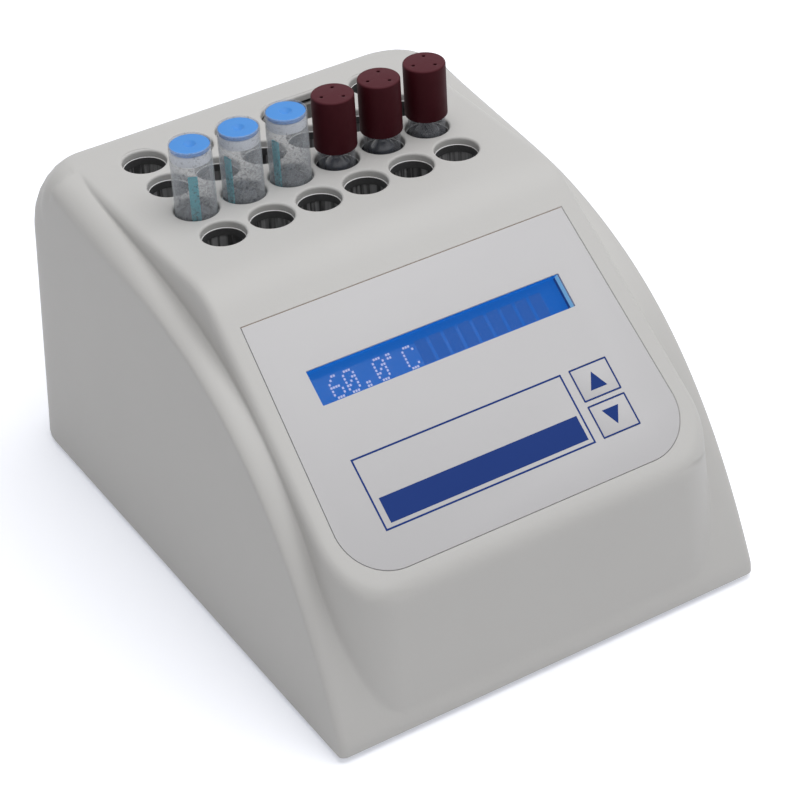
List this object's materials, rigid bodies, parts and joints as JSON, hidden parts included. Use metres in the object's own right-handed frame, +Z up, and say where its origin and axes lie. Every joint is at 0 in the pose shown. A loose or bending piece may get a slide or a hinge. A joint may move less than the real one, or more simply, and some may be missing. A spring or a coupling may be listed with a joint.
{
  "type": "biological indicator incubator",
  "caption": "Small bench dry-block incubator with sloping display panel, two keys, heated wells, vial crusher slot and indicator vials standing in the wells.",
  "frame": {"origin": "on the table, under the middle of the part's bounding box", "axes": "+X to the user's right, +Y away from the user, +Z up"},
  "size_m": [0.1114, 0.1572, 0.1011],
  "materials": {
    "housing_plastic": "fine moulded texture, pale warm grey",
    "base_plastic": "moulded, grey",
    "overlay_film": "printed film, satin",
    "key_film": "printed film, satin",
    "clear_plastic": "clear",
    "display_blue": "gloss",
    "bezel_steel": "satin black",
    "board_green": "solder mask",
    "aluminium": "machined",
    "steel": "satin",
    "black_plastic": "satin",
    "rubber": "matte",
    "felt": "matte",
    "silicone": "matte",
    "blue_cap": "satin",
    "maroon_cap": "satin",
    "white_plastic": "satin",
    "ampoule_glass": "gloss",
    "strip_teal": "matte"
  },
  "bodies": {
    "housing": {"housing_shell": "housing_plastic", "base_plate": "base_plastic", "overlay_panel": "overlay_film", "display_window": "clear_plastic", "key_board": "board_green", "tact_switch_up": "black_plastic", "tact_switch_down": "black_plastic", "lcd_bezel": "bezel_steel", "lcd_glass": "display_blue", "lcd_board": "board_green", "heating_block": "aluminium", "crusher_insert": "black_plastic", "block_insulation": "felt", "heater_pad": "silicone", "heater_clamp": "aluminium", "temperature_sensor": "steel", "thermal_cutout": "black_plastic", "control_board": "board_green", "microcontroller": "black_plastic", "capacitor": "aluminium", "heat_sink": "aluminium", "power_transistor": "black_plastic", "terminal_block": "board_green", "power_inlet": "black_plastic", "rocker_housing": "black_plastic", "front_left_foot": "rubber", "front_left_screw": "steel", "front_right_foot": "rubber", "front_right_screw": "steel", "back_left_foot": "rubber", "back_left_screw": "steel", "back_right_foot": "rubber", "back_right_screw": "steel"},
    "up_key": {"key_up": "key_film"},
    "down_key": {"key_down": "key_film"},
    "rocker": {"power_rocker": "black_plastic"},
    "vial_1": {"vial_1_tube": "clear_plastic", "vial_1_cap": "blue_cap", "vial_1_ampoule": "ampoule_glass", "vial_1_ring": "white_plastic", "vial_1_strip": "strip_teal"},
    "vial_2": {"vial_2_tube": "clear_plastic", "vial_2_cap": "blue_cap", "vial_2_ampoule": "ampoule_glass", "vial_2_ring": "white_plastic", "vial_2_strip": "strip_teal"},
    "vial_3": {"vial_3_tube": "clear_plastic", "vial_3_cap": "blue_cap", "vial_3_ampoule": "ampoule_glass", "vial_3_ring": "white_plastic", "vial_3_strip": "strip_teal"},
    "vial_4": {"vial_4_tube": "clear_plastic", "vial_4_cap": "maroon_cap", "vial_4_ampoule": "ampoule_glass"},
    "vial_5": {"vial_5_tube": "clear_plastic", "vial_5_cap": "maroon_cap", "vial_5_ampoule": "ampoule_glass"},
    "vial_6": {"vial_6_tube": "clear_plastic", "vial_6_cap": "maroon_cap", "vial_6_ampoule": "ampoule_glass"}
  },
  "joints": [
    {"name": "up_key_press", "type": "slide", "parent": "housing", "child": "up_key", "axis": [0, 0.6035, -0.7974], "range_m": [0, 0.0004], "stiffness_N_per_m": 900},
    {"name": "down_key_press", "type": "slide", "parent": "housing", "child": "down_key", "axis": [0, 0.6035, -0.7974], "range_m": [0, 0.0004], "stiffness_N_per_m": 900},
    {"name": "rocker_tilt", "type": "hinge", "parent": "housing", "child": "rocker", "pos_m": [0.027, 0.07481, 0.0255], "axis": [1, 0, 0], "range_deg": [0, 18]},
    {"name": "vial_1_lift", "type": "slide", "parent": "housing", "child": "vial_1", "axis": [0, 0, 1], "range_m": [0, 0.055]},
    {"name": "vial_2_lift", "type": "slide", "parent": "housing", "child": "vial_2", "axis": [0, 0, 1], "range_m": [0, 0.055]},
    {"name": "vial_3_lift", "type": "slide", "parent": "housing", "child": "vial_3", "axis": [0, 0, 1], "range_m": [0, 0.055]},
    {"name": "vial_4_lift", "type": "slide", "parent": "housing", "child": "vial_4", "axis": [0, 0, 1], "range_m": [0, 0.055]},
    {"name": "vial_5_lift", "type": "slide", "parent": "housing", "child": "vial_5", "axis": [0, 0, 1], "range_m": [0, 0.055]},
    {"name": "vial_6_lift", "type": "slide", "parent": "housing", "child": "vial_6", "axis": [0, 0, 1], "range_m": [0, 0.055]}
  ]
}
